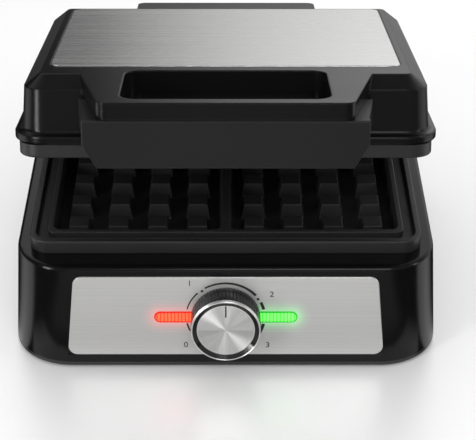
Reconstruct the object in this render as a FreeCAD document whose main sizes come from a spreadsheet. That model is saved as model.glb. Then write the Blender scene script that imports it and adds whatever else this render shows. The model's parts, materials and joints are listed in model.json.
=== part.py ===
"""A two-well waffle maker: a flared base with a sloping control panel, and a hinged lid with a loop handle.

Frame: +X right, +Y to the back, +Z up, in millimetres.
The origin is on the table, under the middle of the object.
The lid's pieces are drawn closed. Each is then turned about the hinge axis to where the open lid holds it.
"""

import FreeCAD
import Part
import math
import os

import Sketcher

V = FreeCAD.Vector

SIZES = {
    # Base shell, at its foot, with the same draft on every side
    "base_half_width": 129.4,
    "base_front": 116.0,
    "base_back": 119.6,
    "base_corner": 36.0,
    "base_foot_z": 4.4,
    "deck_z": 70.0,
    "draft": 4.0,
    "shell_wall": 2.6,
    "cover_z": 1.5,
    "foot_radius": 9.0,
    # Waffle plates, both from one casting
    "plate_half_width": 117.0,
    "plate_front": 95.6,
    "plate_back": 84.0,
    "plate_corner": 12.0,
    "plate_bottom_z": 58.0,
    "parting_z": 78.2,
    "rim_land": 3.5,
    "groove_width": 7.0,
    "groove_depth": 4.5,
    "ridge_width": 3.0,
    "well_depth": 13.0,
    "centre_rib": 5.0,
    "peg_size": 15.0,
    "peg_height": 9.0,
    "peg_pitch_across": 24.0,
    "peg_pitch_along": 24.5,
    # Control panel, measured down the sloping front face from the deck's edge
    "panel_top": 5.9,
    "panel_bottom": 60.1,
    "panel_half_top": 90.0,
    "panel_half_bottom": 95.2,
    "panel_sheet": 1.0,
    "dial_drop": 33.3,
    "knob_radius": 20.7,
    "knob_height": 16.8,
    "cap_height": 2.4,
    "dish_depth": 1.5,
    "shaft_radius": 3.0,
    "light_reach": 42.6,
    "light_root": 15.0,
    "light_height": 7.4,
    # Lid, drawn closed
    "lid_half_width": 116.5,
    "lid_front": 92.2,
    "lid_back": 109.5,
    "lid_corner": 13.0,
    "lip_bottom_z": 86.8,
    "lip_top_z": 92.0,
    "lip_front": 98.6,
    "frame_front": 98.0,
    "bevel_z": 118.0,
    "lid_top_z": 125.3,
    "lip_half_width": 122.8,
    "bevel_width": 9.4,
    "frame_half_width": 119.6,
    "lid_panel_half": 102.6,
    "lid_panel_front": 65.1,
    "lid_panel_back": 97.4,
    # Handle
    "handle_front": 148.2,
    "handle_half_root": 84.0,
    "handle_half_front": 69.5,
    "bar_bottom_z": 115.2,
    "apron_bottom_z": 88.1,
    "apron_half_width": 78.3,
    "slot_half_width": 58.0,
    "slot_front": 140.0,
    "slot_back": 75.0,
    "slot_floor_z": 106.0,
    # Hinge
    "hinge_y": 127.0,
    "hinge_z": 82.0,
    "barrel_radius": 10.0,
    "pin_radius": 3.0,
    "tongue_half_width": 60.5,
    "ear_width": 13.5,
    "washer_gap": 1.5,
    "open_angle": 14.0,
    # Inside
    "element_radius": 3.4,
    "wire_radius": 1.3,
    "cord_radius": 3.6,
    "cord_x": 84.0,
    "cord_z": 24.0,
}

FIT = 0.3
RUN = 0.05

doc = FreeCAD.newDocument("waffle_maker")
sheet = doc.addObject("Spreadsheet::Sheet", "Sizes")
for row, (alias, number) in enumerate(SIZES.items(), start=1):
    sheet.set(f"A{row}", alias)
    sheet.set(f"B{row}", str(number))
    sheet.setAlias(f"B{row}", alias)
doc.recompute()


class Size:
    """A length that is both a number and the expression on the sheet that gives it."""

    def __init__(self, text, value):
        self.text = text
        self.value = value

    def _with(self, sign, other, swap=False):
        if not isinstance(other, Size):
            other = Size(repr(float(other)), float(other))
        left, right = (other, self) if swap else (self, other)
        results = {
            "+": left.value + right.value,
            "-": left.value - right.value,
            "*": left.value * right.value,
        }
        return Size(f"({left.text} {sign} {right.text})", results[sign])

    def __add__(self, other):
        return self._with("+", other)

    def __radd__(self, other):
        return self._with("+", other, swap=True)

    def __sub__(self, other):
        return self._with("-", other)

    def __rsub__(self, other):
        return self._with("-", other, swap=True)

    def __mul__(self, other):
        return self._with("*", other)

    def __rmul__(self, other):
        return self._with("*", other, swap=True)

    def __neg__(self):
        return Size(f"(0 - {self.text})", -self.value)


class Sheet:
    """Sizes by name, as in S.deck_z."""

    def __getattr__(self, alias):
        return Size(f"Sizes.{alias}", float(sheet.get(alias)))


S = Sheet()
PARTS = []


def number(size):
    return size.value if isinstance(size, Size) else float(size)


def bind(thing, name, size):
    """Gives a property its size, bound to the sheet where the size comes from there."""
    if isinstance(size, Size):
        thing.setExpression(name, size.text)
    else:
        setattr(thing, name, size)


def keep(label, thing):
    """Names a finished piece and puts it on the list that is written out."""
    thing.Label = label
    PARTS.append((label, thing))
    return thing


def new_body(label):
    return keep(label, doc.addObject("PartDesign::Body", label))


def origin_plane(body, role):
    return next(p for p in body.Origin.OriginFeatures if p.Role == role)


def new_sketch(body, role="XY_Plane", height=0.0):
    """An empty sketch on one of the body's own planes, moved along that plane's normal."""
    sketch = body.newObject("Sketcher::SketchObject", body.Label + "_sketch")
    sketch.AttachmentSupport = [(origin_plane(body, role), "")]
    sketch.MapMode = "FlatFace"
    if isinstance(height, Size):
        sketch.setExpression("AttachmentOffset.Base.z", height.text)
    else:
        sketch.AttachmentOffset = FreeCAD.Placement(V(0, 0, height), FreeCAD.Rotation())
    return sketch


def hold(sketch, kind, *where_and_size):
    """Adds a dimension whose value is bound to the sheet."""
    *where, size = where_and_size
    index = sketch.addConstraint(Sketcher.Constraint(kind, *where, number(size)))
    if isinstance(size, Size):
        sketch.setExpression(f"Constraints[{index}]", size.text)


def draw_rounded(sketch, left, right, low, high, radius):
    """A rectangle with four round corners, from its four sides and its corner radius."""
    x0, x1, y0, y1, r = (number(s) for s in (left, right, low, high, radius))
    ends = [
        (V(x0 + r, y0), V(x1 - r, y0)),
        (V(x1, y0 + r), V(x1, y1 - r)),
        (V(x1 - r, y1), V(x0 + r, y1)),
        (V(x0, y1 - r), V(x0, y0 + r)),
    ]
    centres = [V(x1 - r, y0 + r), V(x1 - r, y1 - r), V(x0 + r, y1 - r), V(x0 + r, y0 + r)]
    sides = [sketch.addGeometry(Part.LineSegment(a, b)) for a, b in ends]
    arcs = []
    for turn, centre in enumerate(centres):
        start = -math.pi / 2 + turn * math.pi / 2
        circle = Part.Circle(centre, V(0, 0, 1), r)
        arcs.append(sketch.addGeometry(Part.ArcOfCircle(circle, start, start + math.pi / 2)))
    for turn in range(4):
        sketch.addConstraint(Sketcher.Constraint("Tangent", sides[turn], 2, arcs[turn], 1))
        sketch.addConstraint(Sketcher.Constraint("Tangent", arcs[turn], 2, sides[(turn + 1) % 4], 1))
    for turn in (0, 2):
        sketch.addConstraint(Sketcher.Constraint("Horizontal", sides[turn]))
        sketch.addConstraint(Sketcher.Constraint("Vertical", sides[turn + 1]))
    for arc in arcs[1:]:
        sketch.addConstraint(Sketcher.Constraint("Equal", arcs[0], arc))
    hold(sketch, "Radius", arcs[0], radius)
    hold(sketch, "DistanceX", -1, 1, sides[1], 1, right)
    hold(sketch, "DistanceX", -1, 1, sides[3], 1, left)
    hold(sketch, "DistanceY", -1, 1, sides[0], 1, low)
    hold(sketch, "DistanceY", -1, 1, sides[2], 1, high)


def draw_polygon(sketch, points):
    """A closed outline through the points, each held at its place."""
    flat = [V(number(x), number(y)) for x, y in points]
    count = len(flat)
    lines = [
        sketch.addGeometry(Part.LineSegment(flat[i], flat[(i + 1) % count])) for i in range(count)
    ]
    for i in range(count):
        sketch.addConstraint(Sketcher.Constraint("Coincident", lines[i], 2, lines[(i + 1) % count], 1))
    for line, (x, y) in zip(lines, points):
        hold(sketch, "DistanceX", -1, 1, line, 1, x)
        hold(sketch, "DistanceY", -1, 1, line, 1, y)


def draw_circle(sketch, x, y, radius):
    circle = Part.Circle(V(number(x), number(y)), V(0, 0, 1), number(radius))
    index = sketch.addGeometry(circle)
    hold(sketch, "Radius", index, radius)
    hold(sketch, "DistanceX", -1, 1, index, 3, x)
    hold(sketch, "DistanceY", -1, 1, index, 3, y)


def pad(body, sketch, length, taper=0.0, down=False):
    feature = body.newObject("PartDesign::Pad", body.Label + "_pad")
    feature.Profile = sketch
    bind(feature, "Length", length)
    bind(feature, "TaperAngle", taper)
    feature.Reversed = down
    doc.recompute()
    return feature


def pocket(body, sketch, length, taper=0.0, up=False):
    """Cuts against the sketch's normal, or along it, and checks that something was cut."""
    before = body.Shape.Volume
    feature = body.newObject("PartDesign::Pocket", body.Label + "_pocket")
    feature.Profile = sketch
    bind(feature, "Length", length)
    bind(feature, "TaperAngle", taper)
    feature.Reversed = up
    doc.recompute()
    if body.Shape.Volume > before - 0.01:
        raise RuntimeError(f"a pocket of {body.Label} cuts nothing")
    return feature


def round_edges(body, radius, wanted, kind="PartDesign::Fillet"):
    """Rounds or chamfers the edges of the body that the test accepts."""
    tip = body.Tip
    names = [f"Edge{i + 1}" for i, edge in enumerate(tip.Shape.Edges) if wanted(edge)]
    if not names:
        raise RuntimeError(f"{body.Label} has no such edge to round")
    feature = body.newObject(kind, body.Label + "_edges")
    feature.Base = (tip, names)
    bind(feature, "Size" if kind.endswith("Chamfer") else "Radius", radius)
    doc.recompute()
    if not body.Shape.isValid():
        raise RuntimeError(f"the rounded edges of {body.Label} do not close")
    return feature


def at_height(z, tolerance=0.02):
    """Accepts edges that lie level at one height."""

    def wanted(edge):
        box = edge.BoundBox
        return abs(box.ZMin - z) < tolerance and abs(box.ZMax - z) < tolerance

    return wanted


def upright(test):
    """Accepts straight upright edges whose middle passes the test."""

    def wanted(edge):
        box = edge.BoundBox
        return box.ZLength > 0.5 and box.XLength < 0.02 and box.YLength < 0.02 and test(box.Center)

    return wanted


def slab(body, left, right, low, high, radius, z, height, taper=0.0, down=False):
    """A padded rounded rectangle."""
    sketch = new_sketch(body, height=z)
    draw_rounded(sketch, left, right, low, high, radius)
    return pad(body, sketch, height, taper, down)


def sink(body, left, right, low, high, radius, z, depth, taper=0.0, up=False):
    """A pocketed rounded rectangle."""
    sketch = new_sketch(body, height=z)
    draw_rounded(sketch, left, right, low, high, radius)
    return pocket(body, sketch, depth, taper, up)


def joined(label, shapes):
    """Several separate solids under one name."""
    feature = doc.addObject("Part::Feature", label)
    feature.Shape = shapes[0] if len(shapes) == 1 else Part.makeCompound(shapes)
    return keep(label, feature)


def ring(outer, inner, length, place, axis):
    tube = Part.makeCylinder(outer, length, place, axis)
    return tube.cut(Part.makeCylinder(inner, length + 2, place - axis, axis))


def bent_tube(points, radius, bend):
    """A round bar along straight runs that are joined by tangent arcs of one bend radius."""
    edges = []
    last = points[0]
    for i in range(1, len(points) - 1):
        back = (points[i - 1] - points[i]).normalize()
        ahead = (points[i + 1] - points[i]).normalize()
        half = back.getAngle(ahead) / 2
        reach = bend / math.tan(half)
        start = points[i] + back * reach
        end = points[i] + ahead * reach
        middle = points[i] + (back + ahead).normalize() * (bend / math.sin(half) - bend)
        edges.append(Part.LineSegment(last, start).toShape())
        edges.append(Part.Arc(start, middle, end).toShape())
        last = end
    edges.append(Part.LineSegment(last, points[-1]).toShape())
    path = Part.Wire(edges)
    face = Part.Wire(Part.makeCircle(radius, points[0], points[1] - points[0]))
    tube = path.makePipeShell([face], True, False)
    expected = math.pi * radius**2 * path.Length
    if abs(tube.Volume - expected) > 0.02 * expected:
        raise RuntimeError(f"a tube has {tube.Volume:.0f} mm3 and not {expected:.0f}")
    return tube


# Places that several pieces share

DRAFT_RISE = math.tan(math.radians(number(S.draft)))
FACE_UP = V(0, DRAFT_RISE, 1).normalize()
FACE_OUT = V(0, -1, DRAFT_RISE).normalize()
SHELL_HEIGHT = number(S.deck_z) - number(S.base_foot_z)
DECK_EDGE = V(0, SHELL_HEIGHT * DRAFT_RISE - number(S.base_front), number(S.deck_z))
DIAL = DECK_EDGE - FACE_UP * number(S.dial_drop)
FACE_TURN = FreeCAD.Rotation(V(1, 0, 0), FACE_UP, FACE_OUT, "ZXY")
FACE = FreeCAD.Placement(DIAL, FACE_TURN)
HINGE = V(0, number(S.hinge_y), number(S.hinge_z))
LID_TURN = FreeCAD.Rotation(V(-1, 0, 0), number(S.open_angle))
LID_OPEN = FreeCAD.Placement(HINGE - LID_TURN.multVec(HINGE), LID_TURN)
FLIP = FreeCAD.Placement(V(0, 0, 2 * number(S.parting_z) + FIT), FreeCAD.Rotation(V(0, 1, 0), 180))


def on_face(body):
    """Puts a piece that is drawn about the dial's centre, facing +Z, on the sloping front."""
    body.Placement = FACE


def on_lid(thing, flipped=False):
    """Turns a piece that is drawn closed to where the open lid holds it."""
    thing.Placement = LID_OPEN.multiply(FLIP) if flipped else LID_OPEN


def light_slot(sketch, side, spread=0.0):
    """The long round-ended outline of an indicator light, on the left or the right of the dial."""
    reach, root = S.light_reach + spread, S.light_root - spread
    half = 0.5 * S.light_height + spread
    left, right = (root, reach) if side > 0 else (-reach, -root)
    draw_rounded(sketch, left, right, -half, half, half * 0.98)


def panel_outline(sketch, spread=0.0):
    """The control panel's outline, a little wider at its foot."""
    top = S.dial_drop - S.panel_top + spread
    bottom = S.dial_drop - S.panel_bottom - spread
    upper, lower = S.panel_half_top + spread, S.panel_half_bottom + spread
    draw_polygon(sketch, [(-lower, bottom), (lower, bottom), (upper, top), (-upper, top)])


SCREW_SPOTS = [(x, y) for x in (-100.0, 100.0) for y in (-100.0, 88.0)]
FOOT_SPOTS = [(x, y) for x in (-98.0, 98.0) for y in (-62.0, 68.0)]
SCREW_RADIUS = 1.5


# Base


def make_base_housing():
    body = new_body("base_housing")
    height = S.deck_z - S.base_foot_z
    slab(
        body, -S.base_half_width, S.base_half_width, -S.base_front, S.base_back,
        S.base_corner, S.base_foot_z, height, -S.draft,
    )  # fmt: skip
    round_edges(body, 2.5, at_height(number(S.deck_z)))
    wall = S.shell_wall
    sink(
        body, wall - S.base_half_width, S.base_half_width - wall, wall - S.base_front,
        S.base_back - wall, S.base_corner - wall, S.base_foot_z, height - wall, -S.draft, up=True,
    )  # fmt: skip
    margin = 5.0
    sink(
        body, margin - S.plate_half_width, S.plate_half_width - margin, margin - S.plate_front,
        S.plate_back - margin, S.plate_corner - 3.0, S.deck_z, 8.0,
    )  # fmt: skip
    add_screw_posts(body)
    cut_panel_seat(body)
    cut_cord_hole(body)


def add_screw_posts(body):
    """Posts under the deck that take the screws of the bottom cover."""
    posts = new_sketch(body, height=S.base_foot_z)
    for x, y in SCREW_SPOTS:
        draw_circle(posts, x, y, 4.2)
    pad(body, posts, S.deck_z - S.base_foot_z - 1.0)
    bores = new_sketch(body, height=S.base_foot_z)
    for x, y in SCREW_SPOTS:
        draw_circle(bores, x, y, SCREW_RADIUS + RUN)
    pocket(body, bores, 16.0, up=True)


def cut_panel_seat(body):
    """The shallow seat of the control panel, the shaft hole and the two light slots behind it."""
    place = FreeCAD.Placement(DIAL, FACE_TURN)
    plane = origin_plane(body, "XY_Plane")
    for draw, depth in (
        (lambda sketch: panel_outline(sketch, 0.25), 0.6),
        (lambda sketch: draw_circle(sketch, 0.0, 0.0, 5.0), 8.0),
        (lambda sketch: light_slot(sketch, 1, 0.2), 8.0),
        (lambda sketch: light_slot(sketch, -1, 0.2), 8.0),
    ):
        sketch = body.newObject("Sketcher::SketchObject", "panel_seat_sketch")
        sketch.AttachmentSupport = [(plane, "")]
        sketch.MapMode = "FlatFace"
        sketch.AttachmentOffset = place
        draw(sketch)
        pocket(body, sketch, depth)


def cut_cord_hole(body):
    hole = new_sketch(body, "XZ_Plane", -S.base_back - 4.0)
    draw_circle(hole, S.cord_x, S.cord_z, S.cord_radius + 3.4)
    pocket(body, hole, 14.0, up=True)


def make_hinge_ear(label, side):
    """A rear bracket on the back wall that carries one hinge pin beside the lid's hinge block."""
    body = new_body(label)
    inner = side * (S.tongue_half_width + S.washer_gap)
    y, z, wide = S.hinge_y, S.hinge_z, S.barrel_radius * 0.94
    arm = new_sketch(body, "YZ_Plane", inner)
    draw_polygon(
        arm,
        [
            (y - 9.5, 36.0), (y - 5.0, 36.0), (y + wide, z - 8.0), (y + wide, z),
            (y - wide, z), (y - wide, z - 13.0), (y - 11.5, 64.0),
        ],
    )  # fmt: skip
    pad(body, arm, S.ear_width, down=side < 0)
    barrel = new_sketch(body, "YZ_Plane", inner)
    draw_circle(barrel, y, z, S.barrel_radius)
    pad(body, barrel, S.ear_width, down=side < 0)
    bore = new_sketch(body, "YZ_Plane", inner)
    draw_circle(bore, y, z, S.pin_radius + RUN)
    pocket(body, bore, S.ear_width - 2.0, up=side > 0)


def make_bottom_cover():
    body = new_body("bottom_cover")
    slab(
        body, -S.base_half_width, S.base_half_width, -S.base_front, S.base_back,
        S.base_corner, S.cover_z, S.base_foot_z - S.cover_z,
    )  # fmt: skip
    round_edges(body, 1.2, at_height(number(S.cover_z)))
    holes = new_sketch(body, height=S.base_foot_z)
    for x, y in SCREW_SPOTS:
        draw_circle(holes, x, y, SCREW_RADIUS + FIT)
    pocket(body, holes, S.base_foot_z - S.cover_z)
    heads = new_sketch(body, height=S.cover_z)
    for x, y in SCREW_SPOTS:
        draw_circle(heads, x, y, 3.4)
    pocket(body, heads, 1.5, up=True)
    vents = new_sketch(body, height=S.base_foot_z)
    for column in range(9):
        x = (column - 4) * 12.0
        draw_rounded(vents, x - 2.0, x + 2.0, -30.0, 30.0, 1.9)
    pocket(body, vents, S.base_foot_z - S.cover_z)


def make_feet_and_cover_screws():
    top = number(S.cover_z)
    radius = number(S.foot_radius)
    feet = []
    for x, y in FOOT_SPOTS:
        foot = Part.makeCone(radius - 0.8, radius, top, V(x, y, 0))
        feet.append(foot)
    joined("rubber_feet", feet)
    screws = []
    for x, y in SCREW_SPOTS:
        head = Part.makeCylinder(3.1, 1.3, V(x, y, top + 0.1))
        cross = Part.makeBox(3.4, 0.7, 0.7, V(x - 1.7, y - 0.35, top + 0.1))
        cross = cross.fuse(Part.makeBox(0.7, 3.4, 0.7, V(x - 0.35, y - 1.7, top + 0.1)))
        shank = Part.makeCylinder(SCREW_RADIUS, 14.0, V(x, y, top + 1.4))
        screws.append(head.fuse(shank).cut(cross))
    joined("bottom_cover_screws", screws)


def make_control_panel():
    body = new_body("control_panel")
    sketch = new_sketch(body, height=-0.55)
    panel_outline(sketch)
    pad(body, sketch, S.panel_sheet)
    round_edges(body, 5.5, upright(lambda middle: abs(middle.x) > 60))
    round_edges(body, 0.35, at_height(number(S.panel_sheet) - 0.55), "PartDesign::Chamfer")
    holes = new_sketch(body, height=2.0)
    draw_circle(holes, 0.0, 0.0, 5.0)
    for side in (1, -1):
        light_slot(holes, side, 0.1)
    pocket(body, holes, 4.0)
    on_face(body)


def make_light_bars():
    """Two ribbed lenses, each a long bar whose outer end is round."""
    for label, side in (("red_light_bar", -1), ("green_light_bar", 1)):
        body = new_body(label)
        sketch = new_sketch(body, height=-6.0)
        light_slot(sketch, side)
        pad(body, sketch, 6.9)
        ribs = new_sketch(body, height=0.9)
        for groove in range(9):
            x = side * (number(S.light_root) + 7.0 + groove * 2.1)
            half = 0.5 * number(S.light_height) - 0.9
            draw_polygon(ribs, [(x - 0.3, -half), (x + 0.3, -half), (x + 0.3, half), (x - 0.3, half)])
        pocket(body, ribs, 0.35)
        on_face(body)


def make_lamp_board():
    body = new_body("lamp_board")
    sketch = new_sketch(body, height=-15.0)
    draw_rounded(sketch, -48.0, 48.0, -9.0, 9.0, 2.0)
    pad(body, sketch, 1.6)
    hole = new_sketch(body, height=0.0)
    draw_rounded(hole, -8.0, 8.0, -7.0, 7.0, 2.0)
    pocket(body, hole, 20.0)
    on_face(body)
    for label, side in (("red_lamp", -1), ("green_lamp", 1)):
        lamp = Part.makeCylinder(2.5, 3.4, V(side * 29.0, 0, -13.4))
        lamp = lamp.fuse(Part.makeSphere(2.5, V(side * 29.0, 0, -10.0), V(0, 0, 1), 0, 90, 360))
        joined(label, [lamp.removeSplitter()]).Placement = FACE


def make_thermostat():
    """The switch behind the dial: a can on a bracket, with a threaded neck and a nut."""
    can = Part.makeBox(15.0, 13.0, 20.0, V(-7.5, -6.5, -38.0))
    neck = Part.makeCylinder(4.4, 14.4, V(0, 0, -18.0))
    bore = Part.makeCylinder(number(S.shaft_radius) + RUN, 40.0, V(0, 0, -30.0))
    joined("thermostat", [can.fuse(neck).cut(bore)]).Placement = FACE
    bracket = Part.makeBox(14.0, 40.0, 1.2, V(-7.0, -20.0, -4.0))
    bracket = bracket.cut(Part.makeCylinder(4.5, 4.0, V(0, 0, -5.0)))
    joined("thermostat_bracket", [bracket]).Placement = FACE
    nut = ring(8.0, 4.5, 2.4, V(0, 0, -6.6), V(0, 0, 1))
    faces = Part.makePolygon([V(7.2 * math.cos(a), 7.2 * math.sin(a), -7.5) for a in hexagon_angles()])
    nut = nut.common(Part.Face(faces).extrude(V(0, 0, 4)))
    joined("thermostat_nut", [nut]).Placement = FACE
    bulb = Part.makeCylinder(2.6, 26.0, V(30.0, -30.0, number(S.plate_bottom_z) - 3.0), V(0, 1, 0))
    joined("thermostat_bulb", [bulb])


def hexagon_angles():
    return [math.radians(60 * i) for i in range(7)]


# Knob


def make_knob():
    skirt = new_body("knob_skirt")
    radius, height = S.knob_radius, S.knob_height - S.cap_height
    foot = 1.3
    sketch = new_sketch(skirt, height=foot)
    draw_circle(sketch, 0.0, 0.0, radius)
    pad(skirt, sketch, height - foot)
    flutes = 60
    notch = new_sketch(skirt, height=foot)
    draw_polygon(
        notch,
        [(-0.45, radius + 0.3), (0.0, radius - 0.55), (0.45, radius + 0.3)],
    )
    cut = pocket(skirt, notch, height - 2.0, up=True)
    around = skirt.newObject("PartDesign::PolarPattern", "knob_flutes")
    around.Originals = [cut]
    around.Axis = (notch, ["N_Axis"])
    around.Angle = 360.0
    around.Occurrences = flutes
    skirt.Tip = around
    doc.recompute()
    hollow = new_sketch(skirt, height=foot)
    draw_circle(hollow, 0.0, 0.0, radius - 2.0)
    draw_circle(hollow, 0.0, 0.0, 6.0)
    pocket(skirt, hollow, height - 3.4, up=True)
    socket = new_sketch(skirt, height=foot)
    draw_circle(socket, 0.0, 0.0, S.shaft_radius + RUN)
    pocket(skirt, socket, height - 2.0, up=True)
    on_face(skirt)

    cap = new_body("knob_cap")
    face = new_sketch(cap, height=height)
    draw_circle(face, 0.0, 0.0, radius - 0.2)
    pad(cap, face, S.cap_height)
    round_edges(cap, 0.4, at_height(number(S.knob_height)), "PartDesign::Chamfer")
    dish = new_sketch(cap, height=S.knob_height)
    draw_circle(dish, 0.0, 0.0, radius - 0.8)
    pocket(cap, dish, S.dish_depth, -60.0)
    line = new_sketch(cap, height=S.knob_height)
    draw_rounded(line, -0.45, 0.45, 8.6, radius - 3.6, 0.4)
    pocket(cap, line, S.dish_depth + 0.45)
    on_face(cap)

    shaft = Part.makeCylinder(number(S.shaft_radius), 38.0, V(0, 0, -28.0))
    joined("thermostat_shaft", [shaft]).Placement = FACE


# Waffle plates and what heats them


def make_waffle_plate(label, flipped):
    """One casting: a tub with a rim, a drip groove, a ridge and two wells of square pegs."""
    body = new_body(label)
    half, front, back = S.plate_half_width, S.plate_front, S.plate_back
    tub = 6.5
    slab(
        body, tub - half, half - tub, tub - front, back - tub, S.plate_corner - 4.0,
        S.plate_bottom_z, S.parting_z - S.plate_bottom_z,
    )  # fmt: skip
    slab(body, -half, half, -front, back, S.plate_corner, S.deck_z, S.parting_z - S.deck_z)
    round_edges(body, 0.8, at_height(number(S.parting_z)))
    land, inner = S.rim_land, S.rim_land + S.groove_width
    groove = new_sketch(body, height=S.parting_z)
    draw_rounded(groove, land - half, half - land, land - front, back - land, S.plate_corner - land)
    draw_rounded(groove, inner - half, half - inner, inner - front, back - inner, 4.0)
    pocket(body, groove, S.groove_depth)
    edge = inner + S.ridge_width
    for side in (1, -1):
        near, far = 0.5 * S.centre_rib, half - edge
        left, right = (near, far) if side > 0 else (-far, -near)
        sink(body, left, right, edge - front, back - edge, 5.0, S.parting_z, S.well_depth, -8.0)
    add_pegs(body, half - edge, edge - front, back - edge)
    if flipped:
        on_lid(body, flipped=True)


def add_pegs(body, far, low, high):
    """The two grids of tapered pegs that press the pockets into a waffle."""
    across, along = 4, 6
    floor = S.parting_z - S.well_depth
    size = S.peg_size
    first = low + 0.5 * (high - low - (along - 1) * S.peg_pitch_along)
    pegs = new_sketch(body, height=floor)
    for side in (1, -1):
        middle = side * 0.5 * (far + 0.5 * S.centre_rib)
        for column in range(across):
            x = middle + (column - 0.5 * (across - 1)) * S.peg_pitch_across
            for line in range(along):
                y = first + line * S.peg_pitch_along
                draw_square(pegs, number(x), number(y), number(size))
    pad(body, pegs, S.peg_height, -12.0)


def draw_square(sketch, x, y, size):
    """A square held rigidly at its computed place, for outlines that repeat many times."""
    half = size / 2
    corners = [V(x - half, y - half), V(x + half, y - half), V(x + half, y + half), V(x - half, y + half)]
    for i in range(4):
        sketch.addGeometry(Part.LineSegment(corners[i], corners[(i + 1) % 4]))


def element_path(height):
    """A flat loop that runs under both wells, with its two cold ends at the back."""
    outer, inner, front, back = 88.0, 22.0, -54.0, 86.0
    return [
        V(-12.0, back + 8.0, height),
        V(-12.0, 52.0, height),
        V(-outer, 52.0, height),
        V(-outer, front, height),
        V(-inner, front, height),
        V(-inner, 20.0, height),
        V(inner, 20.0, height),
        V(inner, front, height),
        V(outer, front, height),
        V(outer, 52.0, height),
        V(12.0, 52.0, height),
        V(12.0, back + 8.0, height),
    ]


def make_heater(prefix, flipped):
    """A tubular element under a plate, its straps and screws, and the tray that reflects the heat."""
    radius = number(S.element_radius)
    under = number(S.plate_bottom_z)
    height = under - radius - 0.1
    element = joined(prefix + "_heating_element", [bent_tube(element_path(height), radius, 12.0)])
    straps = []
    screws = []
    for x in (-88.0, 88.0):
        for y in (-30.0, 20.0):
            saddle = ring(radius + 1.1, radius + 0.1, 12.0, V(x, y - 6, height), V(0, 1, 0))
            saddle = saddle.common(Part.makeBox(20, 12, 10, V(x - 10, y - 6, height - 10)))
            foot = Part.makeBox(11.0, 12.0, 1.0, V(x + radius + 0.1, y - 6, under - 1.1))
            web = Part.makeBox(1.0, 12.0, under - 0.1 - height, V(x + radius + 0.1, y - 6, height))
            hole = Part.makeCylinder(1.7, 6.0, V(x + radius + 6.5, y, under - 4))
            straps.append(saddle.fuse([foot, web]).cut(hole).removeSplitter())
            screws.append(Part.makeCylinder(2.6, 1.6, V(x + radius + 6.5, y, under - 2.8)))
    clips = joined(prefix + "_element_straps", straps)
    heads = joined(prefix + "_strap_screws", screws)
    tray = make_tray(prefix + "_heat_reflector")
    for thing in (element, clips, heads, tray):
        if flipped:
            on_lid(thing, flipped=True)


def make_tray(label):
    """A thin pan that hangs under a plate and keeps the heat off the plastic."""
    body = new_body(label)
    top = S.plate_bottom_z - 0.2
    depth = 9.4
    slab(body, -106.0, 106.0, -68.0, 71.0, 10.0, top - depth, depth)
    sink(body, -105.2, 105.2, -67.2, 70.2, 9.2, top, depth - 0.8)
    for x in (-12.0, 12.0):
        notch = new_sketch(body, "XZ_Plane", -60.0)
        high = S.plate_bottom_z
        draw_rounded(notch, x - 6.0, x + 6.0, high - 10.0, high + 4.0, 3.0)
        pocket(body, notch, 20.0)
    return body


def make_base_wiring():
    """The terminal block, the thermal fuse and the leads between them, all under the heat reflector."""
    floor = number(S.base_foot_z) + 0.1
    entry = floor + 7.0
    block = Part.makeBox(26.0, 14.0, 12.0, V(20.0, 88.0, floor))
    for x in (26.0, 33.0, 40.0):
        block = block.cut(Part.makeCylinder(1.8, 20.0, V(x, 86.0, entry), V(0, 1, 0)))
    joined("terminal_block", [block])
    high = number(S.plate_bottom_z) - 12.4
    fuse = Part.makeCylinder(2.4, 14.0, V(-46.0, 60.0, high), V(1, 0, 0))
    fuse = fuse.fuse(Part.makeCylinder(0.7, 30.0, V(-54.0, 60.0, high), V(1, 0, 0)))
    joined("thermal_fuse", [fuse.removeSplitter()])
    switch = DIAL - FACE_OUT * 38.4
    ahead = switch.y + 30.0
    supply = [
        V(26.0, 94.0, entry), V(26.0, 60.0, entry), V(6.0, 0.0, entry),
        V(4.0, ahead, 18.0), V(4.0, switch.y, 34.0),
    ]  # fmt: skip
    switched = [
        V(-54.5, 60.0, high), V(-70.0, 60.0, high), V(-70.0, 20.0, 14.0),
        V(-6.0, -10.0, 14.0), V(-4.0, ahead, 20.0), V(-4.0, switch.y, 34.0),
    ]  # fmt: skip
    fused = [
        V(33.0, 94.0, entry), V(33.0, 74.0, entry), V(0.0, 68.0, 20.0),
        V(-12.0, 60.0, high), V(-23.5, 60.0, high),
    ]  # fmt: skip
    runs = [supply, switched, fused]
    joined("base_leads", [bent_tube(points, number(S.wire_radius), 4.0) for points in runs])
    make_cord_clamp(floor)
    make_cord_bush()


def make_cord_clamp(floor):
    """A block and a strap that grip the cord between them, and their two screws."""
    x, z, radius = number(S.cord_x), number(S.cord_z), number(S.cord_radius)
    low = z - radius - 0.1
    high = z + radius + 0.1
    block = Part.makeBox(24.0, 10.0, low - floor, V(x - 12.0, 92.0, floor))
    strap = Part.makeBox(24.0, 10.0, 2.0, V(x - 12.0, 92.0, high))
    posts = [ring(3.0, 1.6, high - low, V(x + side * 8.5, 97.0, low), V(0, 0, 1)) for side in (1, -1)]
    screws = []
    for side in (1, -1):
        centre = V(x + side * 8.5, 97.0, low - 8.0)
        hole = Part.makeCylinder(1.6, 30.0, centre)
        block = block.cut(hole)
        strap = strap.cut(hole)
        shank = Part.makeCylinder(SCREW_RADIUS, high + 2.1 - centre.z, centre)
        head = Part.makeCylinder(2.8, 1.6, V(centre.x, centre.y, high + 2.1))
        screws.append(shank.fuse(head))
    joined("cord_clamp", [block.fuse(posts).removeSplitter(), strap])
    joined("cord_clamp_screws", screws)


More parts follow.
